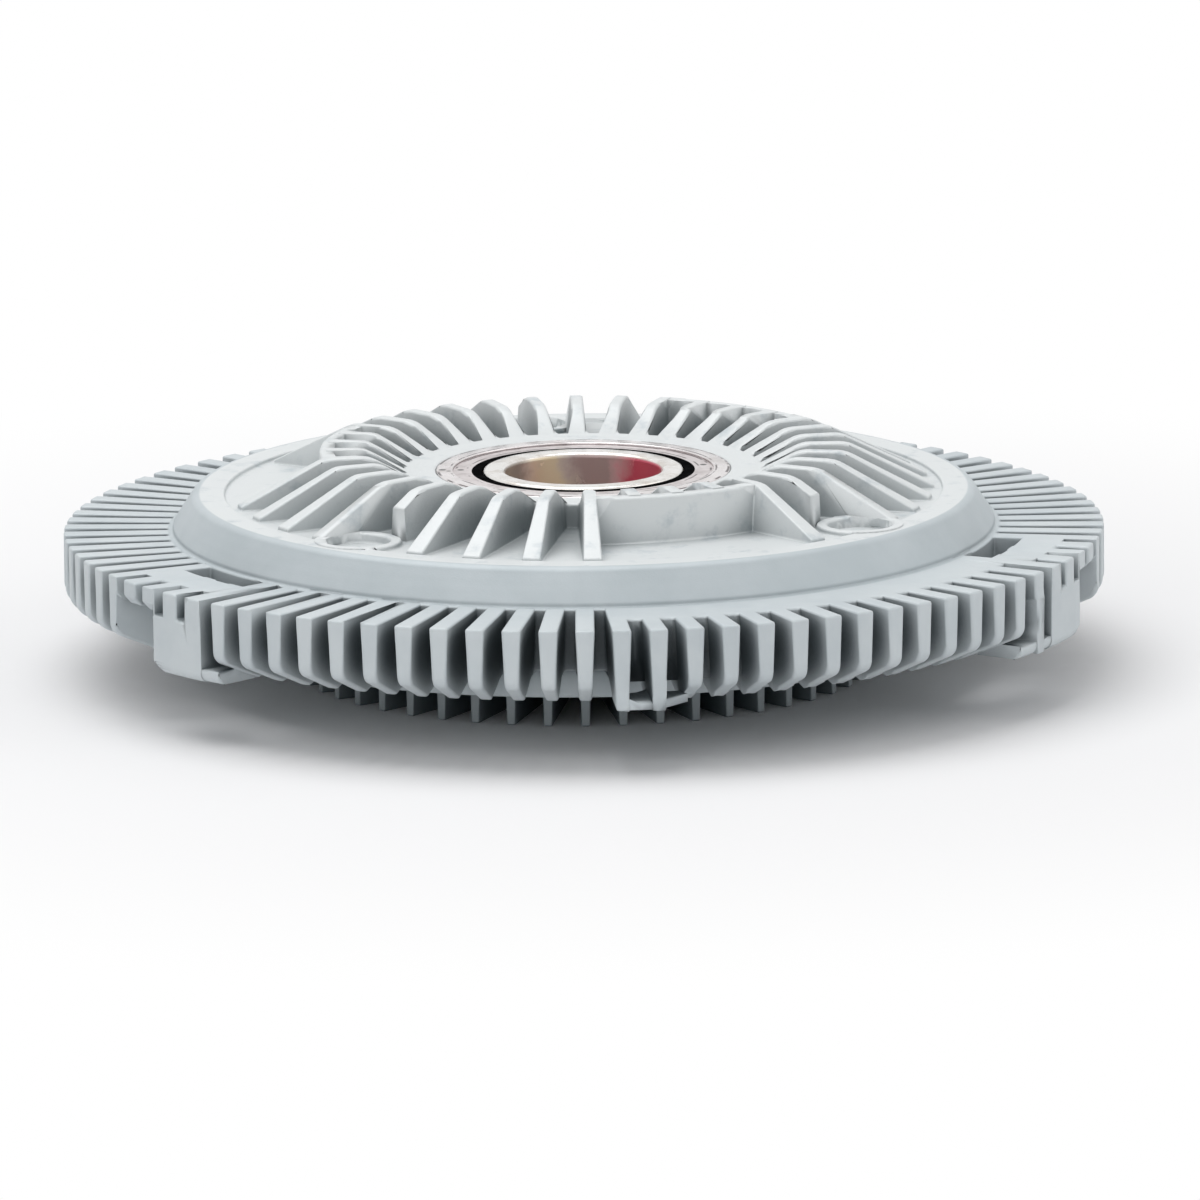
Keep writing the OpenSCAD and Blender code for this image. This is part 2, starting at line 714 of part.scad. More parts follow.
module ball_places() {
    for (k = [0 : ball_count - 1])
        on_circle(ball_path_r, k * 360 / ball_count) translate([0, 0, ball_z]) children();
}

module bearing_balls() {
    color("#d8dadb") ball_places() sphere(r = ball_r);
}

module bearing_cage() {
    half = ball_r + cage_gap + cage_wall;
    color("#b08d4c") difference() {
        ring(ball_path_r - cage_t / 2, ball_path_r + cage_t / 2, ball_z - half, ball_z + half);
        ball_places() sphere(r = ball_r + cage_gap);
    }
}

module bearing_shield(low) {
    color("#c2c5c6") ring(shield_in_r, shield_r, low, low + shield_t);
}

module bearing_seal(low) {
    color("#1b1c1d") ring(lip_r, shield_in_r, low, low + shield_t);
}

module bearing_shield_rear() { bearing_shield(hub_face_z - shield_inset - shield_t); }

module bearing_seal_rear() { bearing_seal(hub_face_z - shield_inset - shield_t); }

module bearing_shield_front() { bearing_shield(bearing_z + shield_inset); }

module bearing_seal_front() { bearing_seal(bearing_z + shield_inset); }

// Input hub: carries the inner ball track, a blind bore for the shaft and a flange for the rotor
module input_hub() {
    flange_z = rotor_top_z;
    bore_z = hub_face_z - input_bore_depth;
    color("#cfd1d1") difference() {
        rotate_extrude() polygon([
            [0, rotor_z], [rotor_spigot_d / 2, rotor_z], [rotor_spigot_d / 2, flange_z],
            [hub_flange_d / 2, flange_z], [hub_flange_d / 2, flange_z + hub_flange_t],
            [inner_shoulder_r, flange_z + hub_flange_t], [inner_shoulder_r, hub_face_z],
            [input_bore_r + input_chamfer, hub_face_z],
            [input_bore_r, hub_face_z - input_chamfer], [input_bore_r, bore_z], [0, bore_z]]);
        ball_track();
        rivet_places() translate([0, 0, flange_z - over])
            cylinder(r = rivet_d / 2 + screw_gap, h = hub_flange_t + 2 * over);
    }
}

module rivet_places() {
    for (k = [0 : rivet_count - 1])
        on_circle(rivet_pcd / 2, k * 360 / rivet_count) children();
}

module rotor_disc() {
    color("#a9adaf") difference() {
        union() {
            ring(rotor_spigot_d / 2, rotor_r, rotor_z, rotor_top_z);
            for (k = [0 : land_count - 1]) {
                outer = rotor_r - rotor_rim_w - land_pitch * k;
                ring(outer - land_t, outer, rotor_top_z - let_in, land_top_z);
            }
        }
        rivet_places() translate([0, 0, rotor_z - over])
            cylinder(r = rivet_d / 2 + screw_gap, h = rotor_t + 2 * over);
        for (k = [0 : rivet_count - 1])
            on_circle(hub_flange_d / 2 + rotor_hole_d, (k + 0.5) * 360 / rivet_count)
                translate([0, 0, rotor_z - over]) cylinder(d = rotor_hole_d, h = rotor_t + 2 * over);
    }
}

module rotor_rivets() {
    color("#b7babb") rivet_places() {
        translate([0, 0, rotor_z]) cylinder(d = rivet_d, h = rotor_t + hub_flange_t);
        translate([0, 0, rotor_top_z + hub_flange_t])
            cylinder(r1 = rivet_d / 2 + rivet_head_over, r2 = rivet_d / 2, h = rivet_head_h);
    }
}

module pump_plate() {
    color("#b3b6b7") difference() {
        translate([0, 0, parting_z]) cylinder(r = plate_r, h = plate_t);
        on_circle(port_r, port_angle) translate([0, 0, parting_z - over])
            cylinder(d = port_d, h = plate_t + 2 * over);
        plate_screw_places() {
            translate([0, 0, parting_z - over])
                cylinder(r = plate_screw_d / 2 + screw_gap, h = plate_t + 2 * over);
            translate([0, 0, plate_top_z - plate_screw_d / 2])
                cylinder(r1 = plate_screw_d / 2 + screw_gap, r2 = plate_screw_d + screw_gap,
                    h = plate_screw_d / 2);
        }
    }
}

module plate_screws() {
    color("#8f9598") plate_screw_places() {
        translate([0, 0, cover_face_z + plate_screw_floor + over])
            cylinder(d = plate_screw_d, h = plate_top_z - cover_face_z - plate_screw_floor - over);
        translate([0, 0, plate_top_z - plate_screw_d / 2])
            cylinder(r1 = plate_screw_d / 2, r2 = plate_screw_d, h = plate_screw_d / 2);
    }
}

module pump_wiper() {
    color("#5f6365") rotate([0, 0, wiper_angle])
        translate([plate_r - plate_land - wiper_w, -wiper_l / 2, plate_top_z])
            cube([wiper_w, wiper_l, wiper_h]);
}

module valve_bush() {
    color("#a8823f") ring(bush_in_r, bush_r, cover_face_z - valve_boss_h, boss_top_z - shaft_seal_h);
}

module shaft_seal() {
    color("#1b1c1d") ring(bush_in_r, bush_r, boss_top_z - shaft_seal_h, boss_top_z);
}

module valve_shaft() {
    color("#bfc2c3") difference() {
        translate([0, 0, shaft_z])
            cylinder(r = valve_shaft_r, h = arm_z + valve_arm_t - shaft_z);
        translate([-valve_shaft_d, -coil_t / 2 - lip_gap / 2, shaft_z - over])
            cube([2 * valve_shaft_d, coil_t + lip_gap, coil_w + coil_z - shaft_z + over + lip_gap]);
    }
}

module valve_arm() {
    reach = port_r + port_d / 2 + over;
    color("#aeb2b4") rotate([0, 0, port_angle]) difference() {
        union() {
            translate([0, 0, arm_z]) cylinder(r = boss_r, h = valve_arm_t);
            translate([0, -valve_arm_w / 2, arm_z]) cube([reach, valve_arm_w, valve_arm_t]);
        }
        translate([0, 0, arm_z - over]) cylinder(r = valve_shaft_r, h = valve_arm_t + 2 * over);
    }
}

// Flat spiral strip from the shaft's slot to the tail at the anchor
module bimetal_coil() {
    steps = round(coil_turns * 36);
    inside = [for (k = [0 : steps]) coil_point(k / steps, -coil_t / 2)];
    outside = [for (k = [steps : -1 : 0]) coil_point(k / steps, coil_t / 2)];
    color("#9a8a5c") translate([0, 0, coil_z]) {
        linear_extrude(coil_w) polygon(concat(inside, outside));
        translate([-valve_shaft_r, -coil_t / 2, 0])
            cube([valve_shaft_r + coil_start_r, coil_t, coil_w]);
        translate([-coil_end_r - coil_tail, -coil_t / 2, 0])
            cube([coil_tail, coil_t, coil_w]);
    }
}

function coil_point(share, side) =
    let (turn = share * coil_turns, radius = coil_start_r + coil_pitch * turn + side)
    radius * [cos(360 * turn), sin(360 * turn)];

// Bent bracket: a tab beside the coil's tail and a foot under the cover's face
module coil_anchor() {
    far = -coil_end_r - anchor_l;
    foot_z = cover_face_z - anchor_t;
    color("#9aa0a2") difference() {
        union() {
            translate([far, coil_t / 2, coil_z])
                cube([anchor_l - coil_t, anchor_t, foot_z - coil_z + let_in]);
            translate([far, coil_t / 2, foot_z]) cube([anchor_l, anchor_w, anchor_t]);
        }
        anchor_screw_places() translate([0, 0, foot_z - over])
            cylinder(r = anchor_screw_d / 2 + screw_gap, h = anchor_t + 2 * over);
    }
}

module anchor_screws() {
    color("#8f9598") anchor_screw_places() {
        translate([0, 0, cover_face_z - anchor_t - anchor_head_h])
            cylinder(d = anchor_head_d, h = anchor_head_h);
        translate([0, 0, cover_face_z - anchor_t - let_in])
            cylinder(d = anchor_screw_d, h = anchor_t + let_in + anchor_bite - over / 2);
    }
}

rear_housing();
front_cover();
cover_screws();
cover_seal();
locating_pins();
bearing_outer_ring();
bearing_balls();
bearing_cage();
bearing_shield_rear();
bearing_seal_rear();
bearing_shield_front();
bearing_seal_front();
input_hub();
rotor_disc();
rotor_rivets();
pump_plate();
plate_screws();
pump_wiper();
valve_bush();
shaft_seal();
valve_shaft();
valve_arm();
bimetal_coil();
coil_anchor();
anchor_screws();
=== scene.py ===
"""Looks of a viscous fan clutch: finishes, soft cast edges, studio light and camera.

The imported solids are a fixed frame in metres. Castings and turned parts are shown as copies with
rounded edges, every surface gets a procedural finish, and nothing is moved or resized.
"""

import logging
import math
from dataclasses import dataclass
from enum import Enum
from typing import Any

import bmesh
import bpy
from mathutils import Matrix, Vector
from mathutils.bvhtree import BVHTree
from mathutils.kdtree import KDTree


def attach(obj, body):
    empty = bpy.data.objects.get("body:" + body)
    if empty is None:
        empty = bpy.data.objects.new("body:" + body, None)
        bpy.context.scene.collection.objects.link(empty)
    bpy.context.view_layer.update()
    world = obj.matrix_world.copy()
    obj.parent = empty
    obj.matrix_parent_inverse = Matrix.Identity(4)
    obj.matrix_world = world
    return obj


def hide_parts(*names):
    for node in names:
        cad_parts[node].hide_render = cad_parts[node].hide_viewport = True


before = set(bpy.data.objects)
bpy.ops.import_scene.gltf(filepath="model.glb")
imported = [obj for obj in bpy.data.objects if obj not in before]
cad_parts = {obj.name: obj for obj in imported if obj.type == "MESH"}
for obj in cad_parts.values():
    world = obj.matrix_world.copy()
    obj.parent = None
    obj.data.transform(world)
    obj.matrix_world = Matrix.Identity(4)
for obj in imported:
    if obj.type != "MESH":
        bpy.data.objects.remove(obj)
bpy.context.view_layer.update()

LOG = logging.getLogger("fan_clutch")
MM = 0.001
WHITE = (1.0, 1.0, 1.0, 1.0)

# Mesh layer with each edge's share of the rounding
EDGE_WIDTHS = "bevel_weight_edge"
# Points closer than this are one
MERGE_MM = 0.01
# Edges shorter than this share of the rounding are closed up before it
SHORT_EDGE_SHARE = 0.25
# Edges that turn by more than this are rounded
CORNER_DEG = 30.0
# A rounding is made of this many strips
STRIPS = 2
# An edge beside another one takes at most this share of the room between them
ROOM_SHARE = 0.4
# Edges with less room than this stay as they are
LEAST_ROOM_MM = 0.6
# An edge takes the room of the edges that it leads to over this many points
ROOM_SPREAD = 3
# Two edges run alongside when the cosine of the angle between them is over this
ALONGSIDE = 0.7
# A surface is level when the upright part of its normal is over this
LEVEL_SHARE = 0.99
# A face on a level surface is turned over when its normal agrees with the surface's less than this
TURNED_SHARE = 0.1
# Smaller faces than this don't count as turned over
LEAST_FACE_MM2 = 0.25
# Edges that are this close to a turned face stay sharp
NEAR_FAULT_MM = 1.2
# The rounding is made at most this many times
MOST_TRIES = 5
# Shading breaks at edges that turn by more than this
SHADING_DEG = 40.0

Tree = bpy.types.NodeTree
Node = bpy.types.Node
Socket = bpy.types.NodeSocket


class Body(Enum):
    """Moving groups of the clutch."""

    HOUSING = "housing"
    INPUT = "input"
    BALLS = "ball_set"
    VALVE = "valve"


class ToolMarks(Enum):
    """How a metal surface was worked, as the shape of the fine lines that it shows."""

    TURNED = "RINGS"
    ROLLED = "BANDS"


def linear(colour: str) -> tuple[float, float, float, float]:
    """Turns an sRGB hex colour to linear values.

    Args:
        colour: six hex digits after a number sign.

    Returns:
        Red, green, blue and an alpha of one.
    """
    # The curve and its numbers are those of the sRGB standard
    shares = [int(colour[k:k + 2], 16) / 255 for k in (1, 3, 5)]
    red, green, blue = (c / 12.92 if c <= 0.04045 else ((c + 0.055) / 1.055) ** 2.4 for c in shares)
    return red, green, blue, 1.0


def per_size(size_mm: float) -> float:
    """Gives the texture scale at which one feature has this size in millimetres."""
    return 1.0 / (size_mm * MM)


def add_node(tree: Tree, kind: str, inputs: dict | None = None, **settings: Any) -> Node:
    """Adds one shader node with its settings, values and links.

    Args:
        tree: node tree that gets the node.
        kind: Blender's name of the node type.
        inputs: value or output socket for each input, by its name or number.
        settings: attributes of the node.

    Returns:
        The new node.
    """
    node = tree.nodes.new(kind)
    for name, value in settings.items():
        setattr(node, name, value)
    for key, value in (inputs or {}).items():
        if isinstance(value, Socket):
            tree.links.new(value, node.inputs[key])
        else:
            node.inputs[key].default_value = value
    return node


@dataclass(frozen=True)
class Finish:
    """A surface finish with one main shader.

    Attributes:
        name: name of the material, for what the real one is.
        slot: the record's material slot; not used.
        colour: main colour.
        metallic: share of metal.
        roughness: roughness of the surface.
    """

    name: str
    slot: str
    colour: str
    metallic: float
    roughness: float

    def material(self) -> bpy.types.Material:
        """Makes the material at the first call.

        Returns:
            The material.
        """
        made = bpy.data.materials.get(self.name)
        if made:
            return made
        made = bpy.data.materials.new(self.name)
        made.use_nodes = True
        tree = made.node_tree
        tree.nodes.clear()
        shader = add_node(tree, "ShaderNodeBsdfPrincipled", {
            "Base Color": linear(self.colour), "Metallic": self.metallic,
            "Roughness": self.roughness})
        add_node(tree, "ShaderNodeOutputMaterial", {"Surface": shader.outputs["BSDF"]})
        place = add_node(tree, "ShaderNodeTexCoord").outputs["Object"]
        self.detail(tree, shader, place)
        return made

    def detail(self, tree: Tree, shader: Node, place: Socket) -> None:
        """Adds the finish's own pattern; the plain finish has none.

        Args:
            tree: the material's node tree.
            shader: its main shader.
            place: object coordinates in metres.
        """

    def dress(self, piece: bpy.types.Object) -> None:
        """Gives a piece this finish as its only material.

        Args:
            piece: the piece.
        """
        piece.data.materials.clear()
        piece.data.materials.append(self.material())


def flattened(tree: Tree, place: Socket) -> Socket:
    """Drops the height from a place.

    Args:
        tree: the material's node tree.
        place: object coordinates.

    Returns:
        The place in the plane across the axis.
    """
    return add_node(tree, "ShaderNodeVectorMath", {
        0: place, 1: (1, 1, 0)}, operation="MULTIPLY").outputs["Vector"]


def axis_distance(tree: Tree, place: Socket) -> Socket:
    """Measures the distance from the clutch's axis in metres.

    Args:
        tree: the material's node tree.
        place: object coordinates.

    Returns:
        The socket with the distance.
    """
    return add_node(tree, "ShaderNodeVectorMath", {0: flattened(tree, place)},
                    operation="LENGTH").outputs["Value"]


def band(tree: Tree, value: Socket, low: float, high: float) -> Socket:
    """Fades from 0 at one value to 1 at another.

    Args:
        tree: the material's node tree.
        value: socket that is read.
        low: value that gives 0.
        high: value that gives 1.

    Returns:
        The faded socket.
    """
    return add_node(tree, "ShaderNodeMapRange", {
        "Value": value, "From Min": low, "From Max": high, "To Min": 0.0, "To Max": 1.0},
        interpolation_type="SMOOTHSTEP").outputs["Result"]


def times(tree: Tree, first: Any, second: Any) -> Socket:
    """Multiplies two sockets or numbers.

    Args:
        tree: the material's node tree.
        first: socket or number.
        second: socket or number.

    Returns:
        The product.
    """
    return add_node(tree, "ShaderNodeMath", {
        0: first, 1: second}, operation="MULTIPLY").outputs["Value"]


def axis_angle(tree: Tree, place: Socket) -> Socket:
    """Measures the angle round the clutch's axis in degrees, 0 on the right and 90 at the back.

    Args:
        tree: the material's node tree.
        place: object coordinates.

    Returns:
        The socket with the angle.
    """
    parts = add_node(tree, "ShaderNodeSeparateXYZ", {0: place})
    turn = add_node(tree, "ShaderNodeMath", {
        0: parts.outputs["Y"], 1: parts.outputs["X"]}, operation="ARCTAN2")
    return times(tree, turn.outputs["Value"], math.degrees(1))


def spread(tree: Tree, value: Socket, low: float, high: float) -> Socket:
    """Stretches a value that lies between 0 and 1.

    Args:
        tree: the material's node tree.
        value: socket that is read.
        low: result for 0.
        high: result for 1.

    Returns:
        The stretched socket.
    """
    return add_node(tree, "ShaderNodeMapRange", {
        "Value": value, "To Min": low, "To Max": high}).outputs["Result"]


def noise(tree: Tree, place: Socket, size_mm: float, detail: float, rough: float = 0.6) -> Socket:
    """Makes a cloudy pattern.

    Args:
        tree: the material's node tree.
        place: object coordinates in metres.
        size_mm: size of the largest clouds.
        detail: number of finer layers.
        rough: strength of the finer layers.

    Returns:
        The pattern, between 0 and 1.
    """
    return add_node(tree, "ShaderNodeTexNoise", {
        "Vector": place, "Scale": per_size(size_mm), "Detail": detail,
        "Roughness": rough}).outputs["Fac"]


def tool_lines(tree: Tree, place: Socket, marks: ToolMarks, spacing_mm: float,
               waver: float, detail: float) -> Socket:
    """Draws the fine lines that a tool leaves.

    Args:
        tree: the material's node tree.
        place: object coordinates in metres.
        marks: shape of the lines.
        spacing_mm: distance between them.
        waver: how far they wander.
        detail: number of finer layers in that.

    Returns:
        The pattern, between 0 and 1.
    """
    direction = "rings_direction" if marks is ToolMarks.TURNED else "bands_direction"
    return add_node(tree, "ShaderNodeTexWave", {
        "Vector": place, "Scale": per_size(spacing_mm) / math.tau, "Distortion": waver,
        "Detail": detail}, wave_type=marks.value, **{direction: "Z"}).outputs["Fac"]


def raised(tree: Tree, height: Socket, strength: float, depth_mm: float) -> Node:
    """Raises a surface by a pattern.

    Args:
        tree: the material's node tree.
        height: the pattern.
        strength: strength of the relief.
        depth_mm: its depth.

    Returns:
        The bump node.
    """
    return add_node(tree, "ShaderNodeBump", {
        "Strength": strength, "Distance": depth_mm * MM, "Height": height})


def seen_directly(tree: Tree) -> Socket:
    """Tells what the camera and reflections see from what lights other things.

    Args:
        tree: the node tree of the floor or the world.

    Returns:
        A socket with 1 for rays from the camera and from reflections, and 0 for others.
    """
    rays = add_node(tree, "ShaderNodeLightPath")
    return add_node(tree, "ShaderNodeMath", {
        0: rays.outputs["Is Camera Ray"], 1: rays.outputs["Is Glossy Ray"]},
        operation="MAXIMUM").outputs["Value"]


def mix(tree: Tree, share: Any, first: Any, second: Any, blend: str = "MIX") -> Socket:
    """Mixes two colours.

    Args:
        tree: the material's node tree.
        share: socket or number, 0 for the first colour.
        first: socket or linear colour.
        second: socket or linear colour.
        blend: Blender's blend type.

    Returns:
        The mixed colour.
    """
    return add_node(tree, "ShaderNodeMix", {0: share, 6: first, 7: second},
                    data_type="RGBA", blend_type=blend).outputs[2]


@dataclass(frozen=True)
class BlastedCasting(Finish):
    """Die-cast aluminium, bead-blasted: a pale matt grey with a fine grit and soft clouds.

    Attributes:
        cloud: colour of the darker clouds.
        worn: warmer, lighter colour inside the flat ring.
        cone: colour of the turned cone.
        painted_slot_shade: painted shade, the dark tint of the deep slots at the rim.
        shade: painted shade, the tint of the open gaps inside the flat ring.
        worn_r: radius of the worn zone in millimetres.
        cone_r: outer radius of the cone in millimetres.
        cloud_mm: size of the clouds, which lie between the levels of cloud_band.
        smudge_mm: size of the smudges, which lie between the levels of smudge_band.
        zone_fade_mm: half of the fade at the worn zone's edge.
        cone_fade_mm: half of the fade at the cone's edge.
        grit_mm: size of the blasting grit, with its relief and depth.
        feed_mm: distance between the lines on the cone, with their relief and depth.
        slot_depth_mm: distance over which walls shade each other, between the levels of sky_band.
        sky_samples: number of rays that measure this shade.
        gloss_spread: how far the roughness goes up and down.
    """

    cloud: str
    worn: str
    cone: str
    painted_slot_shade: str
    shade: str
    worn_r: float
    cone_r: float
    cloud_mm: float = 26.0
    cloud_band: tuple[float, float] = (0.35, 0.7)
    smudge_mm: float = 9.0
    smudge_band: tuple[float, float] = (0.52, 0.75)
    zone_fade_mm: float = 0.4
    cone_fade_mm: float = 0.3
    # Blasting grit is about 0.1 mm; it is drawn coarser so that it shows
    grit_mm: float = 0.55
    grit_relief: float = 0.22
    grit_depth_mm: float = 0.2
    # Turning feed is about 0.3 mm; it is drawn coarser so that it shows
    feed_mm: float = 0.9
    feed_relief: float = 0.10
    feed_depth_mm: float = 0.15
    slot_depth_mm: float = 15.0
    sky_band: tuple[float, float] = (0.12, 0.8)
    sky_samples: int = 8
    gloss_spread: float = 0.08

    def detail(self, tree: Tree, shader: Node, place: Socket) -> None:
        """Adds clouds, the worn zone, the turned cone, painted shade in the slots and gaps, and the
        grit.

        Args:
            tree: the material's node tree.
            shader: its main shader.
            place: object coordinates in metres.
        """
        radius = axis_distance(tree, place)
        smudges = noise(tree, place, self.smudge_mm, detail=6.0, rough=0.65)
        cloudy = band(tree, noise(tree, place, self.cloud_mm, detail=5.0), *self.cloud_band)
        smudged = band(tree, smudges, *self.smudge_band)
        inside = band(tree, radius, (self.worn_r + self.zone_fade_mm) * MM,
                      (self.worn_r - self.zone_fade_mm) * MM)
        on_cone = band(tree, radius, (self.cone_r + self.cone_fade_mm) * MM,
                       (self.cone_r - self.cone_fade_mm) * MM)

        rim = mix(tree, cloudy, linear(self.colour), linear(self.cloud))
        turned = mix(tree, cloudy, linear(self.cone), linear(self.cloud))
        centre = mix(tree, smudged, linear(self.worn), linear(self.cloud))
        colour = mix(tree, on_cone, rim, turned)
        colour = mix(tree, inside, colour, centre)
        # Painted shade: ambient occlusion darkens the colour in the deep slots and the open gaps
        depth = add_node(tree, "ShaderNodeAmbientOcclusion", {
            "Distance": self.slot_depth_mm * MM}, samples=self.sky_samples)
        open_sky = band(tree, depth.outputs["AO"], *self.sky_band)
        painted_shade_tint = mix(tree, inside, linear(self.painted_slot_shade), linear(self.shade))
        colour = mix(tree, open_sky, mix(tree, 1.0, colour, painted_shade_tint, "MULTIPLY"), colour)
        tree.links.new(colour, shader.inputs["Base Color"])

        rings = tool_lines(tree, place, ToolMarks.TURNED, self.feed_mm, waver=0.6, detail=1.0)
        lines = raised(tree, times(tree, on_cone, rings), self.feed_relief, self.feed_depth_mm)
        grit = noise(tree, place, self.grit_mm, detail=3.0)
        bump = raised(tree, grit, self.grit_relief, self.grit_depth_mm)
        tree.links.new(lines.outputs["Normal"], bump.inputs["Normal"])
        tree.links.new(bump.outputs["Normal"], shader.inputs["Normal"])
        gloss = spread(tree, smudges, self.roughness - self.gloss_spread,
                       self.roughness + self.gloss_spread)
        tree.links.new(gloss, shader.inputs["Roughness"])


@dataclass(frozen=True)
class WorkedMetal(Finish):
    """Turned, ground or rolled metal with the fine lines of its working.

    Attributes:
        dull: colour of the duller patches.
        marks: shape of the lines.
        spacing_mm: distance between lines, drawn as coarse as it needs to show.
        relief: strength of the lines.
        depth_mm: depth of the lines.
        patch_mm: size of the dull patches, which lie between the levels of patch_band.
        gloss_range: least and greatest roughness, as shares of the finish's own.
        nicks: dark punch marks, each as its distance from the axis, its angle and its size.
        nick_colour: their colour.
        seams: broken lines of dirt round the axis, each as its radius and its width.
        seam_colour: their colour.
        seam_mm: length of a stretch of dirt, which lies between the levels of seam_band.
    """

    dull: str
    marks: ToolMarks
    spacing_mm: float
    relief: float
    depth_mm: float = 0.05
    patch_mm: float = 6.0
    patch_band: tuple[float, float] = (0.4, 0.7)
    gloss_range: tuple[float, float] = (0.8, 1.3)
    nicks: tuple[tuple[float, float, float], ...] = ()
    nick_colour: str = "#2E2C2A"
    seams: tuple[tuple[float, float], ...] = ()
    seam_colour: str = "#4C4143"
    seam_mm: float = 7.0
    seam_band: tuple[float, float] = (0.44, 0.56)

    def detail(self, tree: Tree, shader: Node, place: Socket) -> None:
        """Adds the lines, duller patches and a roughness that follows them.

        Args:
            tree: the material's node tree.
            shader: its main shader.
            place: object coordinates in metres.
        """
        patches = noise(tree, place, self.patch_mm, detail=5.0)
        dulled = band(tree, patches, *self.patch_band)
        colour = mix(tree, dulled, linear(self.colour), linear(self.dull))
        colour = self.punch_nicks(tree, place, colour)
        colour = self.line_seams(tree, place, colour)
        colour = self.stain(tree, shader, place, patches, colour)
        tree.links.new(colour, shader.inputs["Base Color"])
        gloss = spread(tree, patches, *(share * self.roughness for share in self.gloss_range))
        tree.links.new(gloss, shader.inputs["Roughness"])
        lines = tool_lines(tree, place, self.marks, self.spacing_mm, waver=1.5, detail=2.0)
        bump = raised(tree, lines, self.relief, self.depth_mm)
        tree.links.new(bump.outputs["Normal"], shader.inputs["Normal"])

    def punch_nicks(self, tree: Tree, place: Socket, colour: Socket) -> Socket:
        """Draws the punch marks.

        Args:
            tree: the material's node tree.
            place: object coordinates in metres.
            colour: colour of the clean metal.

        Returns:
            The colour with its marks.
        """
        for distance_mm, angle_deg, size_mm in self.nicks:
            turn = math.radians(angle_deg)
            spot = distance_mm * MM * Vector((math.cos(turn), math.sin(turn), 0))
            gap = add_node(tree, "ShaderNodeVectorMath", {
                0: flattened(tree, place), 1: spot}, operation="DISTANCE")
            share = band(tree, gap.outputs["Value"], size_mm / 2 * MM, size_mm / 3 * MM)
            colour = mix(tree, share, colour, linear(self.nick_colour))
        return colour

    def line_seams(self, tree: Tree, place: Socket, colour: Socket) -> Socket:
        """Draws the broken lines of dirt.

        Args:
            tree: the material's node tree.
            place: object coordinates in metres.
            colour: colour of the clean metal.

        Returns:
            The colour with its dirt.
        """
        if not self.seams:
            return colour
        radius = axis_distance(tree, place)
        dirt = noise(tree, place, self.seam_mm, detail=4.0)
        broken = band(tree, dirt, *self.seam_band)
        for seam_r, width in self.seams:
            offset = add_node(tree, "ShaderNodeMath", {
                0: radius, 1: seam_r * MM}, operation="SUBTRACT")
            gap = add_node(tree, "ShaderNodeMath", {
                0: offset.outputs["Value"]}, operation="ABSOLUTE")
            line = band(tree, gap.outputs["Value"], width / 2 * MM, width / 4 * MM)
            colour = mix(tree, times(tree, line, broken), colour, linear(self.seam_colour))
        return colour

    def stain(self, tree: Tree, shader: Node, place: Socket, patches: Socket,
              colour: Socket) -> Socket:
        """Leaves the metal clean; a stained finish adds its own colours.

        Args:
            tree: the material's node tree.
            shader: its main shader.
            place: object coordinates in metres.
            patches: noise that the dull patches follow.
            colour: colour of the clean metal.

        Returns:
            The colour of the surface.
        """
        return colour


@dataclass(frozen=True)
class StainedBore(WorkedMetal):
    """Turned steel whose bore keeps rust, heat tints and red retaining compound from its shaft.

    Attributes:
        bore_mm: radius inside which the stains lie.
        bore_fade_mm: width of the fade at its mouth.
        stains: each stain's colour with the angles between which it lies.
        fade_deg: angle over which a stain fades out.
        ragged_deg: how far a stain's edge wanders.
        film: share of metal that shows through the film on the bore's wall.
    """

    bore_mm: float = 23.0
    bore_fade_mm: float = 0.4
    stains: tuple[tuple[str, float, float], ...] = ()
    fade_deg: float = 12.0
    ragged_deg: float = 14.0
    film: float = 0.25

    def stain(self, tree: Tree, shader: Node, place: Socket, patches: Socket,
              colour: Socket) -> Socket:
        """Lays the stains on the bore's wall.

        Args:
            tree: the material's node tree.
            shader: its main shader.
            place: object coordinates in metres.
            patches: noise that the stains' edges follow.
            colour: colour of the clean metal.

        Returns:
            The stained colour.
        """
        wander = spread(tree, patches, -self.ragged_deg, self.ragged_deg)
        angle = add_node(tree, "ShaderNodeMath", {
            0: axis_angle(tree, place), 1: wander}, operation="ADD").outputs["Value"]
        inside = band(tree, axis_distance(tree, place), self.bore_mm * MM,
                      (self.bore_mm - self.bore_fade_mm) * MM)
        for stain_colour, first, last in self.stains:
            begun = band(tree, angle, first - self.fade_deg, first + self.fade_deg)
            ended = band(tree, angle, last + self.fade_deg, last - self.fade_deg)
            share = times(tree, times(tree, begun, ended), inside)
            colour = mix(tree, share, colour, linear(stain_colour))
        metal = spread(tree, inside, self.metallic, self.film)
        tree.links.new(metal, shader.inputs["Metallic"])
        return colour


@dataclass(frozen=True)
class MouldedRubber(Finish):
    """Nitrile rubber from a mould: black, dull, with a bloom that is a little greyer.

    Attributes:
        bloom: colour of the bloom.
        bloom_mm: size of its patches, which lie between the levels of bloom_band.
        sheen: specular level, none because the dusty face doesn't shine.
    """

    bloom: str
    bloom_mm: float = 4.0
    bloom_band: tuple[float, float] = (0.45, 0.75)
    sheen: float = 0.0

    def detail(self, tree: Tree, shader: Node, place: Socket) -> None:
        """Adds the bloom.

        Args:
            tree: the material's node tree.
            shader: its main shader.
            place: object coordinates in metres.
        """
        patches = noise(tree, place, self.bloom_mm, detail=4.0, rough=0.5)
        share = band(tree, patches, *self.bloom_band)
        colour = mix(tree, share, linear(self.colour), linear(self.bloom))
        tree.links.new(colour, shader.inputs["Base Color"])
        shader.inputs["Specular IOR Level"].default_value = self.sheen
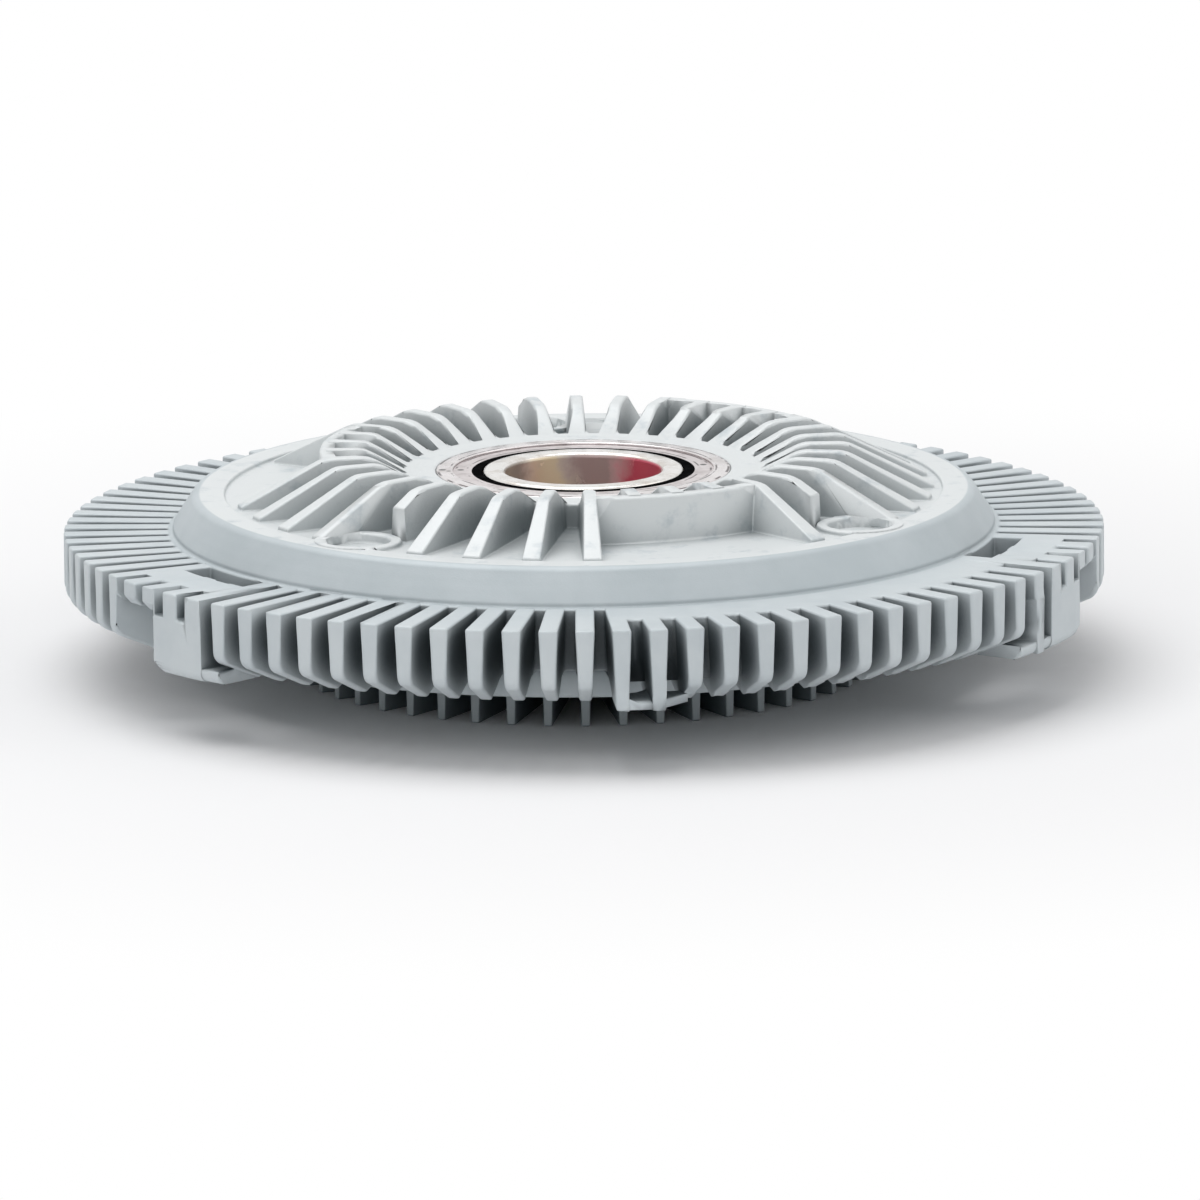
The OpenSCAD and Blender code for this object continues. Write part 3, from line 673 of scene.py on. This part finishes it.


# Both castings carry painted shade: two dark tints that darken their slots and gaps
CAST_HOUSING = BlastedCasting(
    "Blasted die-cast aluminium", "housing_casting", "#C6CDD0", 0.15, 0.5,
    cloud="#BCC4C8", worn="#D6DADB", cone="#B4BDC1", painted_slot_shade="#5C6468", shade="#A9AEB0", worn_r=110.8,
    cone_r=120.0)
CAST_COVER = BlastedCasting(
    "Blasted die-cast aluminium cover", "cover_casting", "#BAC2C5", 0.15, 0.52,
    cloud="#AEB7BB", worn="#BAC2C5", cone="#BAC2C5", painted_slot_shade="#7C868B", shade="#7C868B",
    worn_r=1.0, cone_r=2.0)
# Ground rings reflect the white room as a pale grey with a breath of pink
GROUND_STEEL = WorkedMetal(
    "Ground bearing steel", "bearing_steel", "#DEDADA", 1.0, 0.26,
    dull="#C9C3C2", marks=ToolMarks.TURNED, spacing_mm=0.5, relief=0.15,
    nicks=((40.6, 181.0, 2.6), (38.9, 184.0, 1.6)), seams=((38.4, 0.7), (41.9, 0.9)))
SHIELD_STEEL = WorkedMetal(
    "Pressed shield steel", "shield_steel", "#CFC8C8", 1.0, 0.32,
    dull="#B5ADAD", marks=ToolMarks.TURNED, spacing_mm=0.7, relief=0.15,
    nicks=((35.2, 10.0, 2.4), (35.4, 177.0, 2.4)), seams=((33.6, 0.7), (36.8, 0.8)))
HUB_STEEL = StainedBore(
    "Turned hub steel", "hub_steel", "#E2E0DD", 1.0, 0.24,
    dull="#CDC7C0", marks=ToolMarks.TURNED, spacing_mm=0.5, relief=0.15,
    stains=(("#9D9388", 134.0, 180.0), ("#D6C6A8", 102.0, 134.0), ("#A08B88", 62.0, 102.0),
            ("#C04C60", 8.0, 62.0)))
SHAFT_STEEL = WorkedMetal(
    "Ground shaft steel", "hub_steel", "#D9D7D3", 1.0, 0.24,
    dull="#BDB6AC", marks=ToolMarks.TURNED, spacing_mm=0.5, relief=0.15)
SEAL_RUBBER = MouldedRubber(
    "Moulded nitrile rubber", "seal_rubber", "#0E0E0F", 0.0, 0.75, bloom="#1B1B1C")
CAGE_BRASS = WorkedMetal(
    "Machined brass", "cage_brass", "#C9A45C", 1.0, 0.3,
    dull="#A98545", marks=ToolMarks.TURNED, spacing_mm=0.6, relief=0.2)
ROTOR_ALUMINIUM = WorkedMetal(
    "Turned aluminium", "rotor_aluminium", "#C2C6C8", 1.0, 0.34,
    dull="#A9AEB1", marks=ToolMarks.TURNED, spacing_mm=0.6, relief=0.25)
PLATE_STEEL = WorkedMetal(
    "Rolled sheet steel", "plate_steel", "#B8BABA", 1.0, 0.36,
    dull="#9C9E9E", marks=ToolMarks.ROLLED, spacing_mm=0.8, relief=0.12)
ZINC_STEEL = WorkedMetal(
    "Zinc-plated steel", "fastener_steel", "#B3B6B7", 1.0, 0.33,
    dull="#969A9C", marks=ToolMarks.ROLLED, spacing_mm=0.9, relief=0.06, patch_mm=3.0)
BUSH_BRONZE = WorkedMetal(
    "Sintered bronze", "bush_bronze", "#B48A48", 1.0, 0.45,
    dull="#8C6B38", marks=ToolMarks.TURNED, spacing_mm=0.6, relief=0.1, patch_mm=2.0)
BIMETAL = WorkedMetal(
    "Rolled bimetal strip", "bimetal_strip", "#B7A67A", 1.0, 0.34,
    dull="#94835A", marks=ToolMarks.ROLLED, spacing_mm=0.7, relief=0.12)


def edge_room(edges: list[bmesh.types.BMEdge], reach: float) -> list[float]:
    """Measures how far each edge lies from the nearest one that runs beside it.

    Args:
        edges: the edges.
        reach: distance up to which neighbours count, and the spacing of the points on an edge.

    Returns:
        The least room beside each edge and those it leads to, at most the reach.
    """
    points = []
    for number, edge in enumerate(edges):
        first, last = (vert.co for vert in edge.verts)
        steps = max(1, round(edge.calc_length() / reach))
        points += [(number, first.lerp(last, (k + 0.5) / steps)) for k in range(steps)]
    tree = KDTree(len(points))
    for index, (_, point) in enumerate(points):
        tree.insert(point, index)
    tree.balance()
    ways = [(edge.verts[1].co - edge.verts[0].co).normalized() for edge in edges]
    rooms = [reach] * len(edges)
    for number, point in points:
        for other, index, gap in tree.find_range(point, reach):
            beside = points[index][0]
            across = abs((other - point).dot(ways[number])) < gap / 2
            if beside != number and across and abs(ways[number].dot(ways[beside])) > ALONGSIDE:
                rooms[number] = min(rooms[number], gap)
    for _ in range(ROOM_SPREAD):
        least: dict[bmesh.types.BMVert, float] = {}
        for edge, room in zip(edges, rooms):
            for vert in edge.verts:
                least[vert] = min(least.get(vert, reach), room)
        rooms = [min(least[vert] for vert in edge.verts) for edge in edges]
    return rooms


def turned_faces(shape: bmesh.types.BMesh, plain: BVHTree) -> list[Vector]:
    """Finds where rounding has turned faces away from the plain shape.

    Args:
        shape: the rounded shape.
        plain: the shape before rounding.

    Returns:
        Corners and centres of the turned faces.
    """
    places: list[Vector] = []
    for face in shape.faces:
        if face.calc_area() < LEAST_FACE_MM2 * MM * MM:
            continue
        centre = face.calc_center_median()
        normal = plain.find_nearest(centre)[1]
        if abs(normal.z) > LEVEL_SHARE and face.normal.dot(normal) < TURNED_SHARE:
            places.append(centre)
            places.extend(vert.co.copy() for vert in face.verts)
    return places


def sharpen_near(mesh: bpy.types.Mesh, places: list[Vector]) -> int:
    """Takes the rounding off the edges beside some places.

    Args:
        mesh: the mesh whose edges carry the widths.
        places: the places.

    Returns:
        The number of edges that changed.
    """
    tree = KDTree(len(places))
    for index, place in enumerate(places):
        tree.insert(place, index)
    tree.balance()
    widths = mesh.attributes[EDGE_WIDTHS].data
    changed = 0
    for edge in mesh.edges:
        if widths[edge.index].value > 0:
            first, last = (mesh.vertices[index].co for index in edge.vertices)
            gap = min(tree.find(point)[2] for point in (first, last, (first + last) / 2))
            if gap < NEAR_FAULT_MM * MM:
                widths[edge.index].value = 0
                changed += 1
    return changed


def merged_shape(node: str, round_mm: float) -> bmesh.types.BMesh:
    """Copies a CAD node's mesh, closes up its short edges and sets how wide each edge is rounded.

    Args:
        node: name of the CAD node.
        round_mm: width of the rounding.

    Returns:
        The shape, whose edges carry their share of that width.
    """
    shape = bmesh.new()
    shape.from_mesh(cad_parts[node].data)
    bmesh.ops.remove_doubles(shape, verts=shape.verts, dist=MERGE_MM * MM)
    widths = shape.edges.layers.float.new(EDGE_WIDTHS)
    least = SHORT_EDGE_SHARE * round_mm * MM
    short = [edge for edge in shape.edges if edge.calc_length() < least]
    bmesh.ops.collapse(shape, edges=short, uvs=False)
    corner = math.radians(CORNER_DEG)
    sharp = [edge for edge in shape.edges
             if edge.is_manifold and edge.calc_face_angle(0) > corner]
    for edge, room in zip(sharp, edge_room(sharp, round_mm / ROOM_SHARE * MM)):
        roomy = room > LEAST_ROOM_MM * MM
        edge[widths] = ROOM_SHARE * room / (round_mm * MM) if roomy else 0
    return shape


def round_edges(piece: bpy.types.Object, shape: bmesh.types.BMesh, round_mm: float) -> None:
    """Rounds a shape's edges, and keeps those sharp beside which faces would turn over.

    Args:
        piece: the piece whose mesh holds the shape.
        shape: the same shape, which gets the rounding.
        round_mm: width of the rounding.
    """
    plain = BVHTree.FromBMesh(shape)
    soft = piece.modifiers.new("soft_edges", "BEVEL")
    soft.limit_method = "WEIGHT"
    soft.offset_type = "OFFSET"
    soft.width = round_mm * MM
    soft.segments = STRIPS
    soft.use_clamp_overlap = False
    soft.loop_slide = False
    for _ in range(MOST_TRIES):
        shape.clear()
        shape.from_object(piece, bpy.context.evaluated_depsgraph_get())
        places = turned_faces(shape, plain)
        changed = sharpen_near(piece.data, places) if places else 0
        if not changed:
            break
        LOG.info("%s: %d more edges kept sharp", piece.name, changed)
        piece.data.update()
        piece.update_tag()
    piece.modifiers.clear()


def soft_copy(node: str, body: Body, finish: Finish, round_mm: float) -> None:
    """Makes a copy of a CAD node with merged, rounded edges that stands for it.

    Args:
        node: name of the CAD node.
        body: the moving group that it belongs to.
        finish: its finish.
        round_mm: width of the rounding.
    """
    shape = merged_shape(node, round_mm)
    low = min(vert.co.z for vert in shape.verts)
    high = max(vert.co.z for vert in shape.verts)
    reach = max(vert.co.xy.length for vert in shape.verts)
    mesh = bpy.data.meshes.new(f"{node}_soft")
    shape.to_mesh(mesh)
    piece = bpy.data.objects.new(f"{node}_soft", mesh)
    bpy.context.scene.collection.objects.link(piece)
    round_edges(piece, shape, round_mm)
    # No rounding reaches past the solid
    for vert in shape.verts:
        vert.co.z = min(max(vert.co.z, low), high)
        if vert.co.xy.length > reach:
            vert.co.xy *= reach / vert.co.xy.length
    for face in shape.faces:
        face.smooth = True
    shape.to_mesh(mesh)
    shape.free()
    mesh.set_sharp_from_angle(angle=math.radians(SHADING_DEG))
    even = piece.modifiers.new("even_normals", "WEIGHTED_NORMAL")
    even.keep_sharp = True
    finish.dress(piece)
    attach(piece, body.value)
    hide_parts(node)
    LOG.info("%s: %d faces", piece.name, len(mesh.polygons))


@dataclass
class Castings:
    """Rear housing and front cover."""

    housing_round_mm: float = 0.8
    cover_round_mm: float = 0.4

    def build(self) -> None:
        """Shows both castings with soft edges."""
        soft_copy("rear_housing", Body.HOUSING, CAST_HOUSING, self.housing_round_mm)
        soft_copy("front_cover", Body.HOUSING, CAST_COVER, self.cover_round_mm)


@dataclass
class Bearing:
    """Ball bearing with its shields and rubber lips."""

    ring_round_mm: float = 0.5
    sheet_round_mm: float = 0.2

    def build(self) -> None:
        """Shows the rings and the shields with soft edges."""
        soft_copy("bearing_outer_ring", Body.HOUSING, GROUND_STEEL, self.ring_round_mm)
        soft_copy("bearing_shield_rear", Body.HOUSING, SHIELD_STEEL, self.sheet_round_mm)
        soft_copy("bearing_seal_rear", Body.HOUSING, SEAL_RUBBER, self.sheet_round_mm)
        soft_copy("bearing_shield_front", Body.HOUSING, SHIELD_STEEL, self.sheet_round_mm)
        soft_copy("bearing_seal_front", Body.HOUSING, SEAL_RUBBER, self.sheet_round_mm)
        soft_copy("bearing_cage", Body.BALLS, CAGE_BRASS, self.sheet_round_mm)
        GROUND_STEEL.dress(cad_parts["bearing_balls"])


@dataclass
class InputHub:
    """Input hub with the rotor that it carries."""

    hub_round_mm: float = 1.0
    rotor_round_mm: float = 0.2

    def build(self) -> None:
        """Shows the hub and the rotor with soft edges."""
        soft_copy("input_hub", Body.INPUT, HUB_STEEL, self.hub_round_mm)
        soft_copy("rotor_disc", Body.INPUT, ROTOR_ALUMINIUM, self.rotor_round_mm)
        ZINC_STEEL.dress(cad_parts["rotor_rivets"])


@dataclass
class PumpAndValve:
    """Pump plate, valve, bimetal coil and all fasteners."""

    screw_round_mm: float = 0.3
    strip_round_mm: float = 0.15

    def build(self) -> None:
        """Shows the pieces under and inside the cover."""
        soft_copy("cover_screws", Body.HOUSING, ZINC_STEEL, self.screw_round_mm)
        soft_copy("bimetal_coil", Body.HOUSING, BIMETAL, self.strip_round_mm)
        soft_copy("coil_anchor", Body.HOUSING, PLATE_STEEL, self.strip_round_mm)
        soft_copy("anchor_screws", Body.HOUSING, ZINC_STEEL, self.screw_round_mm)
        soft_copy("valve_shaft", Body.VALVE, SHAFT_STEEL, self.strip_round_mm)
        plain = {
            "cover_seal": SEAL_RUBBER, "locating_pins": ZINC_STEEL, "pump_plate": PLATE_STEEL,
            "plate_screws": ZINC_STEEL, "pump_wiper": PLATE_STEEL, "valve_bush": BUSH_BRONZE,
            "shaft_seal": SEAL_RUBBER, "valve_arm": PLATE_STEEL}
        for node, finish in plain.items():
            finish.dress(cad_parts[node])


@dataclass
class Studio:
    """Pale floor, soft light and the photograph's camera."""

    # Camera fitted to the photograph, which is 1200 pixels square
    image_px: float = 1200.0
    focal_px: float = 20072.0
    rim_centre_px: tuple[float, float] = (583.8, 524.3)
    rim_plane_mm: float = 42.0
    elevation_deg: float = 11.54
    roll_deg: float = -0.58
    distance_m: float = 5.79
    sensor_mm: float = 36.0

    floor_size_m: float = 12.0
    floor_colour: str = "#F4F4F5"
    # Distances from the axis where the shaded paper begins to fade and where the floor is white
    floor_fade_m: tuple[float, float] = (0.17, 0.42)
    world_strength: float = 0.42
    softbox_m: float = 1.3
    overhead_place: tuple[float, float, float] = (-0.25, 0.15, 1.3)
    overhead_w: float = 12.0
    front_place: tuple[float, float, float] = (-0.5, -1.5, 0.7)
    front_w: float = 5.5
    right_place: tuple[float, float, float] = (1.4, -0.2, 0.6)
    right_w: float = 4.0

    def build(self) -> None:
        """Makes the floor, the world, the lamps and the camera."""
        self.build_floor()
        self.build_world()
        self.add_softbox("overhead_softbox", Vector(self.overhead_place), self.overhead_w)
        self.add_softbox("front_softbox", Vector(self.front_place), self.front_w)
        self.add_softbox("right_softbox", Vector(self.right_place), self.right_w)
        self.build_camera()

    def build_floor(self) -> None:
        """Makes the floor, white to the camera far from the clutch and shaded close to it."""
        grid = bmesh.new()
        bmesh.ops.create_grid(grid, x_segments=1, y_segments=1, size=self.floor_size_m / 2)
        mesh = bpy.data.meshes.new("floor")
        grid.to_mesh(mesh)
        grid.free()
        floor = bpy.data.objects.new("floor", mesh)
        bpy.context.scene.collection.objects.link(floor)
        paper = bpy.data.materials.new("White studio paper")
        paper.use_nodes = True
        tree = paper.node_tree
        tree.nodes.clear()
        place = add_node(tree, "ShaderNodeTexCoord").outputs["Object"]
        matt = add_node(tree, "ShaderNodeBsdfDiffuse", {"Color": linear(self.floor_colour)})
        white = add_node(tree, "ShaderNodeEmission", {"Color": WHITE, "Strength": 1.0})
        far = band(tree, axis_distance(tree, place), *self.floor_fade_m)
        surface = add_node(tree, "ShaderNodeMixShader", {
            0: times(tree, far, seen_directly(tree)), 1: matt.outputs["BSDF"],
            2: white.outputs["Emission"]})
        add_node(tree, "ShaderNodeOutputMaterial", {"Surface": surface.outputs["Shader"]})
        mesh.materials.append(paper)

    def build_world(self) -> None:
        """Lights the room evenly and shows white where the floor ends."""
        world = bpy.data.worlds.new("Studio")
        world.use_nodes = True
        tree = world.node_tree
        tree.nodes.clear()
        strength = spread(tree, seen_directly(tree), self.world_strength, 1.0)
        sky = add_node(tree, "ShaderNodeBackground", {"Color": WHITE, "Strength": strength})
        add_node(tree, "ShaderNodeOutputWorld", {"Surface": sky.outputs["Background"]})
        bpy.context.scene.world = world

    def add_softbox(self, name: str, place: Vector, watts: float) -> None:
        """Hangs a square softbox that points at the clutch.

        Args:
            name: name of the lamp.
            place: its centre in metres.
            watts: its power.
        """
        lamp = bpy.data.lights.new(name, "AREA")
        lamp.size = self.softbox_m
        lamp.energy = watts
        box = bpy.data.objects.new(name, lamp)
        box.location = place
        box.rotation_euler = (-place).to_track_quat("-Z", "Y").to_euler()
        bpy.context.scene.collection.objects.link(box)

    def build_camera(self) -> None:
        """Sets the camera where the photograph was taken from."""
        camera = bpy.data.cameras.new("photo_camera")
        camera.sensor_width = self.sensor_mm
        camera.lens = self.sensor_mm * self.focal_px / self.image_px
        centre = Vector((0, 0, self.rim_plane_mm * MM))
        tilt = math.radians(self.elevation_deg)
        eye = centre + self.distance_m * Vector((0, -math.cos(tilt), math.sin(tilt)))
        to_rim = (centre - eye).to_track_quat("-Z", "Y").to_matrix()
        roll = Matrix.Rotation(math.radians(self.roll_deg), 3, "Z")
        right_px = self.image_px / 2 - self.rim_centre_px[0]
        down_px = self.image_px / 2 - self.rim_centre_px[1]
        pan = Matrix.Rotation(-math.atan(right_px / self.focal_px), 3, "Y")
        dip = Matrix.Rotation(-math.atan(down_px / self.focal_px), 3, "X")
        shot = bpy.data.objects.new("photo_camera", camera)
        shot.matrix_world = Matrix.Translation(eye) @ (to_rim @ roll @ pan @ dip).to_4x4()
        bpy.context.scene.collection.objects.link(shot)
        bpy.context.scene.camera = shot


def main() -> None:
    """Builds the clutch's sub-assemblies and the studio in order."""
    logging.basicConfig(level=logging.INFO)
    bpy.context.scene.view_settings.view_transform = "Standard"
    for part in (Castings(), Bearing(), InputHub(), PumpAndValve(), Studio()):
        part.build()
        LOG.info("%s built", type(part).__name__)


if __name__ == "__main__":
    main()
